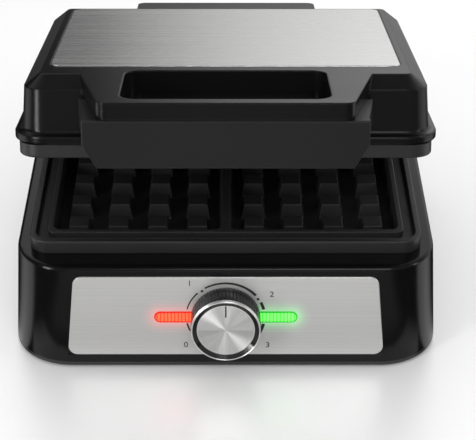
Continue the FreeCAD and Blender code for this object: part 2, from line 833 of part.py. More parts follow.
def make_cord_bush():
    """The grommet that lines the cord's way in through the back wall."""
    body = new_body("cord_bush")
    wall_y = S.base_back - (S.cord_z - S.base_foot_z) * DRAFT_RISE
    flange = new_sketch(body, "XZ_Plane", -wall_y - 3.0)
    draw_circle(flange, S.cord_x, S.cord_z, S.cord_radius + 5.6)
    pad(body, flange, 2.2)
    neck = new_sketch(body, "XZ_Plane", -wall_y - 3.0)
    draw_circle(neck, S.cord_x, S.cord_z, S.cord_radius + 3.3)
    pad(body, neck, 9.0)
    bore = new_sketch(body, "XZ_Plane", -wall_y - 4.0)
    draw_circle(bore, S.cord_x, S.cord_z, S.cord_radius)
    pocket(body, bore, 14.0, up=True)


# Lid


def make_lid_housing():
    body = new_body("lid_housing")
    wall_height = S.bevel_z - S.lip_top_z
    grow = number(wall_height) * DRAFT_RISE
    half, front, back = S.lid_half_width, S.lid_front, S.lid_back
    slab(
        body, -half - grow, half + grow, -front - grow, back + grow, S.lid_corner + grow,
        S.lip_top_z, wall_height, -S.draft,
    )  # fmt: skip
    bevel = math.degrees(math.atan(number(S.bevel_width) / (number(S.lid_top_z) - number(S.bevel_z))))
    slab(
        body, -half, half, -front, back, S.lid_corner, S.bevel_z, S.lid_top_z - S.bevel_z, -bevel,
    )  # fmt: skip
    lip = S.lip_half_width
    proud = lip - half
    slab(
        body, -lip, lip, -S.lip_front, back + proud - 1.6, S.lid_corner + 8.0,
        S.lip_bottom_z, S.lip_top_z - S.lip_bottom_z,
    )  # fmt: skip
    round_edges(body, 2.4, flare_line)
    round_edges(body, 1.0, lip_edge)
    add_handle(body)
    hollow_lid(body)
    seat_panel(body)
    on_lid(body)


def flare_line(edge):
    """The inner corner where the lid's wall meets the top of the lip."""
    box = edge.BoundBox
    level = abs(box.ZMin - number(S.lip_top_z)) < 0.02 and abs(box.ZMax - number(S.lip_top_z)) < 0.02
    return level and not lip_edge(edge)


def lip_edge(edge):
    """The outer edges of the lip, above and below."""
    box = edge.BoundBox
    level = box.ZLength < 0.02 and box.ZMax < number(S.lip_top_z) + 0.02
    lip = number(S.lip_half_width)
    proud = lip - number(S.lid_half_width)
    outside = (
        abs(box.XMax - lip) < 0.02
        or abs(box.XMin + lip) < 0.02
        or abs(box.YMin + number(S.lip_front)) < 0.02
        or abs(box.YMax - number(S.lid_back) - proud + 1.6) < 0.02
    )
    return level and outside


def add_handle(body):
    """The flat top of the handle, which runs forward from the lid's top face, with its finger slot."""
    sketch = new_sketch(body, height=S.bar_bottom_z)
    root, tip = S.handle_half_root, S.handle_half_front
    draw_polygon(
        sketch,
        [
            (-root, -80.0), (-root, 9.0 - S.lid_front), (-tip, -S.handle_front),
            (tip, -S.handle_front), (root, 9.0 - S.lid_front), (root, -80.0),
        ],
    )  # fmt: skip
    pad(body, sketch, S.lid_top_z - S.bar_bottom_z)
    front = number(S.handle_front)
    round_edges(body, 6.0, upright(lambda middle: abs(middle.y + front) < 0.1))
    sink(
        body, -S.slot_half_width, S.slot_half_width, -S.slot_front, -S.slot_back, 9.0,
        S.lid_top_z, S.lid_top_z - S.slot_floor_z,
    )  # fmt: skip


def hollow_lid(body):
    """The space for the plate and its heater, kept clear of the finger slot."""
    wall = S.shell_wall
    half, front, back = S.lid_half_width - wall, S.lid_front - wall, S.lid_back - wall
    notch = S.slot_half_width + wall
    inner = S.slot_back - wall
    floor = S.slot_floor_z - wall
    cut = 9.0
    lip = S.lip_bottom_z
    sink(body, -half, half, -front, back, S.lid_corner - wall, lip, floor - lip, up=True)
    upper = new_sketch(body, height=floor)
    draw_polygon(
        upper,
        [
            (cut - half, -front), (-notch, -front), (-notch, -inner), (notch, -inner),
            (notch, -front), (half - cut, -front), (half, cut - front), (half, back - cut),
            (half - cut, back), (cut - half, back), (-half, back - cut), (-half, cut - front),
        ],
    )  # fmt: skip
    pocket(body, upper, S.bevel_z - floor - 2.0, up=True)
    ceiling = new_sketch(body, height=S.bevel_z - 2.5)
    half_panel = S.lid_panel_half - 6.0
    draw_rounded(ceiling, -half_panel, half_panel, 6.0 - S.lid_panel_front, S.lid_panel_back - 6.0, 4.0)
    pocket(body, ceiling, S.lid_top_z - S.bevel_z - 0.6, up=True)


def seat_panel(body):
    spread = 0.25
    sink(
        body, -S.lid_panel_half - spread, S.lid_panel_half + spread, -S.lid_panel_front - spread,
        S.lid_panel_back + spread, 6.2, S.lid_top_z, 0.6,
    )  # fmt: skip


def make_lid_panel():
    body = new_body("lid_top_panel")
    slab(
        body, -S.lid_panel_half, S.lid_panel_half, -S.lid_panel_front, S.lid_panel_back, 6.0,
        S.lid_top_z - 0.6, S.panel_sheet,
    )  # fmt: skip
    skin = number(S.lid_top_z) - 0.6 + number(S.panel_sheet)
    round_edges(body, 0.35, at_height(skin), "PartDesign::Chamfer")
    on_lid(body)


def make_lid_frame():
    """The ring under the lip that surrounds the upper plate."""
    body = new_body("lid_frame")
    half = S.frame_half_width
    low = S.parting_z + FIT + 0.4
    slab(body, -half, half, -S.frame_front, S.lid_back + 2.0, S.lid_corner, low, S.lip_bottom_z - low)
    round_edges(body, 1.5, at_height(number(low)))
    gap = 0.8
    sink(
        body, -S.plate_half_width - gap, S.plate_half_width + gap, -S.plate_front - gap,
        S.plate_back + gap, 11.0, S.lip_bottom_z, S.lip_bottom_z - low,
    )  # fmt: skip
    on_lid(body)


def make_handle_apron():
    """The lower half of the handle: a deep front plate with cut corners, and two cheeks behind it."""
    body = new_body("handle_apron")
    top, low = S.bar_bottom_z - RUN, S.apron_bottom_z
    wide, narrow = S.apron_half_width, S.apron_half_width - 8.0
    front = new_sketch(body, "XZ_Plane", S.handle_front - 5.0)
    shoulder = S.apron_bottom_z + 13.3
    draw_polygon(
        front,
        [(-narrow, low), (narrow, low), (wide, shoulder), (wide, top), (-wide, top), (-wide, shoulder)],
    )
    pad(body, front, 4.6)
    cheeks = new_sketch(body, height=low + 13.3)
    inner = S.slot_half_width + 4.0
    for side in (1, -1):
        front_end, back_end = 4.8 - S.handle_front, -S.lid_front - 9.6
        draw_polygon(
            cheeks,
            [
                (side * inner, front_end),
                (side * (wide - 0.4), front_end),
                (side * (S.handle_half_root - 0.6), back_end),
                (side * inner, back_end),
            ],
        )
    pad(body, cheeks, top - low - 13.3)
    round_edges(body, 0.8, apron_rim)
    on_lid(body)


def apron_rim(edge):
    """The edges round the apron's front face."""
    face = -number(S.handle_front) + 0.4
    box = edge.BoundBox
    return abs(box.YMin - face) < 0.02 and abs(box.YMax - face) < 0.02


def make_hinge_block():
    """The block behind the lid that turns on the hinge pins."""
    body = new_body("hinge_block")
    half = S.tongue_half_width
    sketch = new_sketch(body, "YZ_Plane", -half)
    y, z, top = S.hinge_y, S.hinge_z, S.lid_top_z - 0.4
    back = S.lid_back
    draw_polygon(
        sketch,
        [
            (y - 9.4, z), (y + 9.4, z), (y + 9.4, z + 12.0), (y + 1.0, top - 9.0), (y - 4.6, top),
            (back - S.bevel_width + 1.2, top), (back + 0.6, S.bevel_z + 0.4), (back + 2.5, S.lip_top_z + 1.6),
            (y - 9.4, S.lip_top_z + 1.6),
        ],
    )  # fmt: skip
    pad(body, sketch, 2 * half)
    barrel = new_sketch(body, "YZ_Plane", -half)
    draw_circle(barrel, y, z, S.barrel_radius - 0.2)
    pad(body, barrel, 2 * half)
    round_edges(body, 5.0, hinge_block_corner)
    bore = new_sketch(body, "YZ_Plane", -half - 1.0)
    draw_circle(bore, y, z, S.pin_radius + 2.05)
    pocket(body, bore, 2 * half + 2.0, up=True)
    on_lid(body)


def hinge_block_corner(edge):
    """The two sloping end edges of the block's back, which round its corners."""
    box = edge.BoundBox
    top = number(S.lid_top_z) - 0.4
    along = box.XLength < 0.02 and abs(abs(box.Center.x) - number(S.tongue_half_width)) < 0.02
    return along and box.ZMax > top - 0.1 and box.Center.y > number(S.lid_back) + 4.0


def make_hinge_hardware():
    y, z = number(S.hinge_y), number(S.hinge_z)
    pin, half = number(S.pin_radius), number(S.tongue_half_width)
    gap, ear = number(S.washer_gap), number(S.ear_width)
    length = 16.0
    pins, bushes, washers = [], [], []
    for side in (1, -1):
        out = V(side, 0, 0)
        inside = V(side * (half - length), y, z)
        pins.append(Part.makeCylinder(pin, length + gap + ear - 2.2, inside, out))
        bushes.append(ring(pin + 2.0, pin + RUN, length, inside, out))
        washers.append(ring(7.0, pin + RUN, gap - 0.3, V(side * (half + 0.15), y, z), out))
    joined("hinge_pins", pins)
    on_lid(joined("hinge_bushes", bushes))
    on_lid(joined("hinge_friction_washers", washers))


def make_lid_screws():
    """The screws under the handle's two cheeks, and those at the back of the lid's frame."""
    under = number(S.apron_bottom_z) + 13.3
    handle = [Part.makeCylinder(2.8, 1.4, V(x, -115.0, under - 1.5)) for x in (-71.0, 71.0)]
    on_lid(joined("handle_screws", handle))
    under = number(S.parting_z) + FIT + 0.4
    frame = [Part.makeCylinder(2.6, 1.2, V(x, 98.0, under - 1.25)) for x in (-100.0, -40.0, 40.0, 100.0)]
    on_lid(joined("frame_screws", frame))


def write_parts():
    for thing in doc.Objects:
        if "Invalid" in thing.State or "Error" in thing.State:
            raise RuntimeError(f"{thing.Label} failed: {thing.State}")
    os.makedirs("parts", exist_ok=True)
    for label, thing in PARTS:
        shape = thing.Shape
        if shape.isNull() or not shape.isValid() or not shape.Solids:
            raise RuntimeError(f"{label} has no valid solid")
        shape.exportStep(f"parts/{label}.step")


def main():
    make_base_housing()
    make_hinge_ear("left_hinge_ear", -1)
    make_hinge_ear("right_hinge_ear", 1)
    make_bottom_cover()
    make_feet_and_cover_screws()
    make_control_panel()
    make_light_bars()
    make_lamp_board()
    make_thermostat()
    make_knob()
    make_waffle_plate("lower_waffle_plate", False)
    make_waffle_plate("upper_waffle_plate", True)
    make_heater("lower", False)
    make_heater("upper", True)
    make_base_wiring()
    make_lid_housing()
    make_lid_panel()
    make_lid_frame()
    make_handle_apron()
    make_hinge_block()
    make_hinge_hardware()
    make_lid_screws()
    doc.recompute()
    write_parts()


main()
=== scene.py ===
import json
import math

import bpy
from mathutils import Matrix, Vector


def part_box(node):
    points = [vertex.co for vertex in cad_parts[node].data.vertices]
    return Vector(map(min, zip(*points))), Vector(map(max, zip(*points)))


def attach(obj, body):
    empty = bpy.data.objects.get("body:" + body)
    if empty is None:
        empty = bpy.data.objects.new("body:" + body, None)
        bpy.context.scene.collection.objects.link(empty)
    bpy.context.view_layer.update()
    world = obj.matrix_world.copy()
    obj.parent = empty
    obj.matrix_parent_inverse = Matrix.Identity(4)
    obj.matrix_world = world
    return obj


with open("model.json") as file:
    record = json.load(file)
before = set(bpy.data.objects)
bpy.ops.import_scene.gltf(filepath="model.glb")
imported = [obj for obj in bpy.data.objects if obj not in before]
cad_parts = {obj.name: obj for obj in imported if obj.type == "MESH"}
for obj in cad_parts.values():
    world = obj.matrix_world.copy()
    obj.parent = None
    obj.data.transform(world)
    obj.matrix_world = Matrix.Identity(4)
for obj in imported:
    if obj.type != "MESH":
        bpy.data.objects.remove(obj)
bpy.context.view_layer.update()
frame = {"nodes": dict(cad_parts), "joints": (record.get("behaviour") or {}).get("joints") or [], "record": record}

scene = bpy.context.scene
scene.view_settings.view_transform = "Standard"

# Sizes, in metres

MM = 0.001

# The dial stands square on the base's sloping front face, so its joint gives that face's lean too.
DIAL_JOINT = next(joint for joint in frame["joints"] if joint["name"] == "dial_turn")
DIAL = Vector(DIAL_JOINT["pos_m"])
DIAL_TILT = math.atan2(DIAL_JOINT["axis"][1], -DIAL_JOINT["axis"][2])

# The light bars are measured sideways from the dial's centre. Grooves cross them at an even pitch.
BAR_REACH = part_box("green_light_bar")[1].x
BAR_HALF_HEIGHT = 3.7 * MM
GROOVE_FIRST = 22.0 * MM
GROOVE_PITCH = 2.1 * MM

# The knob cap's sunk face is pale. The sloping ring round it is painted dark, a painted reflection, and the lip is
# painted bright, a painted highlight.
PAINTED_DARK_RING_RADIUS = 16.8 * MM
LIP_RADIUS = 19.5 * MM

# Ink stands just clear of what it is printed on. Heights are measured out from the base's front face.
INK_CLEARANCE = 0.02 * MM
PANEL_HEIGHT = 0.45 * MM
PRINT_BASE = PANEL_HEIGHT + INK_CLEARANCE
PRINT_THICKNESS = 0.03 * MM
NUMBER_THICKNESS = 0.04 * MM
NUMBER_SIZE = 5.4 * MM

# The broken ring round the dial, and the dots in its gaps
RING_RADIUS = 24.0 * MM
RING_STEP_DEGREES = 2.0
DOT_RING_RADIUS = 22.8 * MM
DOT_RADIUS = 0.85 * MM
DOT_TIP_HALF_WIDTH = 0.01 * MM
DOT_STEPS = 12

# The pointer's ink, in the bottom of its groove in the knob cap
POINTER_GROOVE_HEIGHT = 14.85 * MM
POINTER_BASE = POINTER_GROOVE_HEIGHT + INK_CLEARANCE
POINTER_THICKNESS = 0.3 * MM
POINTER_START = 8.7 * MM
POINTER_END = 16.7 * MM
POINTER_HALF_WIDTH = 0.42 * MM
POINTER_TIP_SHARE = 0.55
POINTER_STEPS = 8

# Each stroke of the ring: its start and end in degrees clockwise from the top, and its width there in mm
RING_STROKES = (
    (-114.5, -101.0, 1.0, 1.1),
    (-77.0, -45.0, 0.7, 1.0),
    (-32.0, 50.0, 1.1, 1.7),
    (64.0, 77.0, 1.7, 1.9),
    (102.0, 126.0, 2.0, 2.4),
)
RING_DOTS = (-126.0, -38.0, 57.0, 132.0)

# Each number's place, in mm to the right of the dial's centre and up the panel
NUMBER_PLACES = {"0": (-24.0, -19.8), "1": (-21.4, 23.2), "2": (27.2, 15.6), "3": (25.2, -20.0)}


# Finishes

# A noise mostly lies between these values.
NOISE_LOW = 0.3
NOISE_HIGH = 0.7

# How deep each finish is cut
GRAIN_DEPTH = 0.06 * MM
METAL_DEPTH = 0.03 * MM
SPUN_DEPTH = 0.01 * MM

# Plastic: how much its patches differ, and how far an edge is lighter, partly a painted highlight and partly wear
PATCH_CONTRAST = 0.08
HIGHLIGHT_AND_WEAR_STRENGTH = 0.5
HIGHLIGHT_AND_WEAR_FACTOR = 2.2
HIGHLIGHT_AND_WEAR_LIFT = 0.012
HIGHLIGHT_AND_WEAR_RADIUS = 0.9 * MM
COAT_ROUGHNESS = 0.06

# Metal: the swing of its sheen, the softness of its edges, and the mottling of plated pieces
METAL_SHEEN = 0.06
METAL_EDGE = 0.3 * MM
MOTTLE_SCALE = 420.0

# Light: how far the painted light of a bar spreads on the panel, and how wide a bar's bright middle is
PAINTED_GLOW_NEAR = 2.5 * MM
PAINTED_GLOW_FAR = 15.0 * MM
PAINTED_GLOW_POWER = 2.6
CORE_NEAR = 2.4 * MM
CORE_FAR = 3.4 * MM

# Knob cap: the soft edges of its painted dark ring, of the painted highlight line along that ring's inner edge,
# and of its painted bright lip
RING_BLEND = 0.1 * MM
LINE_NEAR = 0.2 * MM
LINE_FAR = 0.4 * MM
LIP_BLEND = 0.3 * MM
RING_POLISH = 0.26


# Node helpers


def add(tree, kind, **settings):
    """Adds a node, sets its properties, and sets the inputs that are given by name with in_ in front."""
    node = tree.nodes.new(kind)
    for name, value in settings.items():
        if name.startswith("in_"):
            node.inputs[name[3:].replace("_", " ")].default_value = value
        else:
            setattr(node, name, value)
    return node


def find(tree, kind):
    """The tree's first node of a kind."""
    return next(node for node in tree.nodes if node.type == kind)


def join(tree, output, socket):
    """Links an output to an input."""
    tree.links.new(output, socket)


def maths(tree, operation, first, second=0.0):
    """A maths node between two values, each a number or another node's output."""
    node = add(tree, "ShaderNodeMath", operation=operation)
    for index, value in enumerate((first, second)):
        if isinstance(value, (int, float)):
            node.inputs[index].default_value = value
        else:
            join(tree, value, node.inputs[index])
    return node.outputs[0]


def product(tree, first, second):
    """Two values multiplied."""
    return maths(tree, "MULTIPLY", first, second)


def larger(tree, first, second):
    """The larger of two values."""
    return maths(tree, "MAXIMUM", first, second)


def distance(tree, across, up):
    """The length of a line with these two steps."""
    return maths(tree, "SQRT", maths(tree, "ADD", product(tree, across, across), product(tree, up, up)))


def remap(tree, value, low, high, to_low, to_high, smooth=True):
    """Carries a value from one range to another, easing at the ends unless smooth is off."""
    node = add(tree, "ShaderNodeMapRange")
    node.interpolation_type = "SMOOTHSTEP" if smooth else "LINEAR"
    join(tree, value, node.inputs["Value"])
    for name, number in (("From Min", low), ("From Max", high), ("To Min", to_low), ("To Max", to_high)):
        node.inputs[name].default_value = number
    return node.outputs["Result"]


def remap_noise(tree, value, to_low, to_high):
    """Carries a noise to another range."""
    return remap(tree, value, NOISE_LOW, NOISE_HIGH, to_low, to_high)


def blend_colour(tree, factor, first, second):
    """Mixes two colours, each a tuple or another node's output."""
    node = add(tree, "ShaderNodeMix", data_type="RGBA")
    join(tree, factor, node.inputs["Factor"])
    for name, value in (("A", first), ("B", second)):
        target = next(socket for socket in node.inputs if socket.name == name and socket.type == "RGBA")
        if isinstance(value, tuple):
            target.default_value = (*value, 1.0)
        else:
            join(tree, value, target)
    return next(socket for socket in node.outputs if socket.type == "RGBA")


def split_axes(tree, vector):
    """A vector's X, Y and Z."""
    node = add(tree, "ShaderNodeSeparateXYZ")
    join(tree, vector, node.inputs[0])
    return node.outputs["X"], node.outputs["Y"], node.outputs["Z"]


def shade(colour, factor, lift=0.0):
    """A colour made darker or lighter, no lighter than white."""
    return tuple(min(1.0, part * factor + lift) for part in colour)


def grey(level):
    """A grey of this lightness."""
    return (level, level, level)


# Shared surface effects


def new_group(name, inputs, outputs):
    """A node group with the named inputs (kind and default) and outputs (kind)."""
    group = bpy.data.node_groups.new(name, "ShaderNodeTree")
    for label, kind, default in inputs:
        socket = group.interface.new_socket(label, in_out="INPUT", socket_type=kind)
        if default is not None:
            socket.default_value = default
    for label, kind in outputs:
        group.interface.new_socket(label, in_out="OUTPUT", socket_type=kind)
    return group, add(group, "NodeGroupInput"), add(group, "NodeGroupOutput")


def make_grain_group():
    """Fine moulded grain with broad, faint patches: a value for roughness and a height for bump."""
    group, entry, result = new_group(
        "moulded_grain",
        [("Vector", "NodeSocketVector", None), ("Scale", "NodeSocketFloat", 900.0)],
        [("Patches", "NodeSocketFloat"), ("Height", "NodeSocketFloat")],
    )
    fine = add(group, "ShaderNodeTexNoise", in_Detail=3.0, in_Roughness=0.55)
    join(group, entry.outputs["Vector"], fine.inputs["Vector"])
    join(group, entry.outputs["Scale"], fine.inputs["Scale"])
    broad = add(group, "ShaderNodeTexNoise", in_Scale=22.0, in_Detail=4.0, in_Roughness=0.6)
    join(group, entry.outputs["Vector"], broad.inputs["Vector"])
    join(group, broad.outputs["Fac"], result.inputs["Patches"])
    join(group, fine.outputs["Fac"], result.inputs["Height"])
    return group


def make_brushed_group():
    """Long streaks along X, coarse and fine, as a value and a height."""
    group, entry, result = new_group(
        "brushed_streaks",
        [("Vector", "NodeSocketVector", None)],
        [("Streaks", "NodeSocketFloat"), ("Height", "NodeSocketFloat")],
    )
    layers = []
    for along, across in ((3.0, 1500.0), (9.0, 4200.0)):
        mapping = add(group, "ShaderNodeMapping", in_Scale=(along, across, across))
        join(group, entry.outputs["Vector"], mapping.inputs["Vector"])
        noise = add(group, "ShaderNodeTexNoise", in_Scale=1.0, in_Detail=2.0, in_Roughness=0.6)
        join(group, mapping.outputs["Vector"], noise.inputs["Vector"])
        layers.append(noise.outputs["Fac"])
    coarse, fine = layers
    join(group, product(group, maths(group, "ADD", coarse, fine), 0.5), result.inputs["Streaks"])
    join(group, fine, result.inputs["Height"])
    return group


def make_edge_highlight_and_wear_group():
    """A mask for lighter edges, partly a painted highlight and partly wear: high along edges, where a rounded
    normal leaves the true one, broken up by noise.
    """
    group, entry, result = new_group(
        "edge_highlight_and_wear",
        [("Vector", "NodeSocketVector", None)],
        [("Mask", "NodeSocketFloat")],
    )
    rounded = add(group, "ShaderNodeBevel", samples=4, in_Radius=HIGHLIGHT_AND_WEAR_RADIUS)
    likeness = add(group, "ShaderNodeVectorMath", operation="DOT_PRODUCT")
    join(group, rounded.outputs["Normal"], likeness.inputs[0])
    join(group, add(group, "ShaderNodeNewGeometry").outputs["Normal"], likeness.inputs[1])
    edge = remap(group, likeness.outputs["Value"], 0.85, 0.99, 1.0, 0.0)
    noise = add(group, "ShaderNodeTexNoise", in_Scale=160.0, in_Detail=4.0)
    join(group, entry.outputs["Vector"], noise.inputs["Vector"])
    broken = remap(group, noise.outputs["Fac"], 0.4, 0.65, 0.25, 1.0)
    join(group, product(group, edge, broken), result.inputs["Mask"])
    return group


def make_dial_group():
    """Places on the control panel: steps and distance from the dial's centre, and distance from a bar."""
    group, entry, result = new_group(
        "dial_places",
        [("Vector", "NodeSocketVector", None)],
        [(label, "NodeSocketFloat") for label in ("Right", "Up", "Radius", "From Bar")],
    )
    mapping = add(group, "ShaderNodeMapping", vector_type="TEXTURE")
    mapping.inputs["Location"].default_value = DIAL
    mapping.inputs["Rotation"].default_value = (DIAL_TILT, 0.0, 0.0)
    join(group, entry.outputs["Vector"], mapping.inputs["Vector"])
    right, up, _ = split_axes(group, mapping.outputs["Vector"])
    join(group, right, result.inputs["Right"])
    join(group, up, result.inputs["Up"])
    join(group, distance(group, right, up), result.inputs["Radius"])
    sideways = maths(group, "ABSOLUTE", right)
    past_middle = maths(group, "SUBTRACT", sideways, BAR_REACH - BAR_HALF_HEIGHT)
    join(group, distance(group, larger(group, past_middle, 0.0), up), result.inputs["From Bar"])
    return group


GRAIN = make_grain_group()
BRUSHED = make_brushed_group()
EDGE_HIGHLIGHT_AND_WEAR = make_edge_highlight_and_wear_group()
DIAL_PLACES = make_dial_group()


# Material helpers


def inside(material):
    """A material's node tree, its shader, and the piece's own coordinates in metres."""
    tree = material.node_tree
    return tree, find(tree, "BSDF_PRINCIPLED"), find(tree, "TEX_COORD").outputs["Object"]


def start(name):
    """A new material, and what is inside it."""
    material = bpy.data.materials.new(name)
    material.use_nodes = True
    add(material.node_tree, "ShaderNodeTexCoord")
    return material, *inside(material)


def use_group(tree, group, place):
    """Puts a shared effect into a material."""
    node = add(tree, "ShaderNodeGroup", node_tree=group)
    join(tree, place, node.inputs["Vector"])
    return node


def bump(tree, shader, height, strength, reach, edge=0.0):
    """Turns a height into the shader's normal, over edges softened by a small radius."""
    node = add(tree, "ShaderNodeBump", in_Strength=strength, in_Distance=reach)
    join(tree, height, node.inputs["Height"])
    if edge:
        soft = add(tree, "ShaderNodeBevel", samples=4, in_Radius=edge)
        join(tree, soft.outputs["Normal"], node.inputs["Normal"])
    join(tree, node.outputs["Normal"], shader.inputs["Normal"])


def stretch_along(tree, shader, direction):
    """Stretches the shader's highlights along a direction in the piece's own coordinates."""
    turned = add(tree, "ShaderNodeVectorTransform", vector_type="VECTOR")
    turned.convert_from = "OBJECT"
    turned.convert_to = "WORLD"
    join(tree, direction, turned.inputs[0])
    join(tree, turned.outputs[0], shader.inputs["Tangent"])


# Materials


def plastic(
    name, colour, roughness, spread=0.08, specular=0.4, coat=0.0, grain=900.0, depth=0.25, edge=0.8 * MM
):
    """Moulded plastic or rubber: grain, patches of sheen, and lighter edges that are partly a painted highlight
    and partly wear.
    """
    material, tree, shader, place = start(name)
    texture = use_group(tree, GRAIN, place)
    texture.inputs["Scale"].default_value = grain
    patches = texture.outputs["Patches"]
    # Edges, convex and hollow alike, are painted lighter: a painted highlight, broken up by noise like wear.
    highlight_and_wear = product(tree, use_group(tree, EDGE_HIGHLIGHT_AND_WEAR, place).outputs["Mask"], HIGHLIGHT_AND_WEAR_STRENGTH)
    tone = blend_colour(tree, patches, shade(colour, 1 - PATCH_CONTRAST), shade(colour, 1 + PATCH_CONTRAST))
    tone = blend_colour(tree, highlight_and_wear, tone, shade(colour, HIGHLIGHT_AND_WEAR_FACTOR, HIGHLIGHT_AND_WEAR_LIFT))
    join(tree, tone, shader.inputs["Base Color"])
    sheen = remap_noise(tree, patches, roughness - spread / 2, roughness + spread / 2)
    join(tree, sheen, shader.inputs["Roughness"])
    shader.inputs["Specular IOR Level"].default_value = specular
    shader.inputs["Coat Weight"].default_value = coat
    shader.inputs["Coat Roughness"].default_value = COAT_ROUGHNESS
    bump(tree, shader, texture.outputs["Height"], depth, GRAIN_DEPTH, edge)
    return material


def metal(name, colour, roughness, metallic, contrast, brushed=False, depth=0.25):
    """Sheet or plated metal, brushed along X or finely mottled."""
    material, tree, shader, place = start(name)
    texture = use_group(tree, BRUSHED if brushed else GRAIN, place)
    if brushed:
        pattern = texture.outputs["Streaks"]
        shader.inputs["Anisotropic"].default_value = 0.75
        across_streaks = add(tree, "ShaderNodeCombineXYZ", in_Y=0.7, in_Z=0.7)
        stretch_along(tree, shader, across_streaks.outputs[0])
    else:
        pattern = texture.outputs["Patches"]
        texture.inputs["Scale"].default_value = MOTTLE_SCALE
    lightness = remap_noise(tree, pattern, 0.0, 1.0)
    tone = blend_colour(tree, lightness, shade(colour, 1 - contrast), shade(colour, 1 + contrast))
    join(tree, tone, shader.inputs["Base Color"])
    sheen = remap_noise(tree, pattern, roughness + METAL_SHEEN, roughness - METAL_SHEEN)
    join(tree, sheen, shader.inputs["Roughness"])
    shader.inputs["Metallic"].default_value = metallic
    bump(tree, shader, texture.outputs["Height"], depth, METAL_DEPTH, METAL_EDGE)
    return material


def panel_material():
    """Brushed steel that also carries, as painted light of its own, the coloured light the two light bars throw on
    it.
    """
    material = metal(
        "panel_steel", colour=(0.64, 0.636, 0.629), roughness=0.36, metallic=0.72, contrast=0.06,
        brushed=True, depth=0.07,
    )
    tree, shader, place = inside(material)
    dial = use_group(tree, DIAL_PLACES, place)
    # Painted light: the panel itself emits red and green near the bars, fading away from them.
    fade = remap(tree, dial.outputs["From Bar"], PAINTED_GLOW_NEAR, PAINTED_GLOW_FAR, 1.0, 0.0, smooth=False)
    painted_glow = maths(tree, "POWER", fade, PAINTED_GLOW_POWER)
    green_side = maths(tree, "GREATER_THAN", dial.outputs["Right"], 0.0)
    colour = blend_colour(tree, green_side, (1.0, 0.05, 0.03), (0.08, 1.0, 0.12))
    join(tree, blend_colour(tree, painted_glow, grey(0.0), colour), shader.inputs["Emission Color"])
    shader.inputs["Emission Strength"].default_value = 0.55
    return material


def lens_material(name, deep, bright):
    """A lit lens: brighter along its middle and between its grooves."""
    material, tree, shader, place = start(name)
    dial = use_group(tree, DIAL_PLACES, place)
    core = remap(tree, dial.outputs["From Bar"], CORE_NEAR, CORE_FAR, 1.0, 0.0)
    from_first = maths(tree, "SUBTRACT", maths(tree, "ABSOLUTE", dial.outputs["Right"]), GROOVE_FIRST)
    phase = product(tree, from_first, 2 * math.pi / GROOVE_PITCH)
    grooves = remap(tree, maths(tree, "COSINE", phase), 0.45, 0.95, 1.0, 0.2)
    noise = add(tree, "ShaderNodeTexNoise", in_Scale=700.0, in_Detail=2.0)
    join(tree, place, noise.inputs["Vector"])
    mottled = remap_noise(tree, noise.outputs["Fac"], 0.85, 1.0)
    tone = blend_colour(tree, product(tree, product(tree, core, grooves), mottled), deep, bright)
    join(tree, tone, shader.inputs["Emission Color"])
    join(tree, tone, shader.inputs["Base Color"])
    shader.inputs["Emission Strength"].default_value = 0.85
    join(tree, remap_noise(tree, noise.outputs["Fac"], 0.12, 0.2), shader.inputs["Roughness"])
    return material


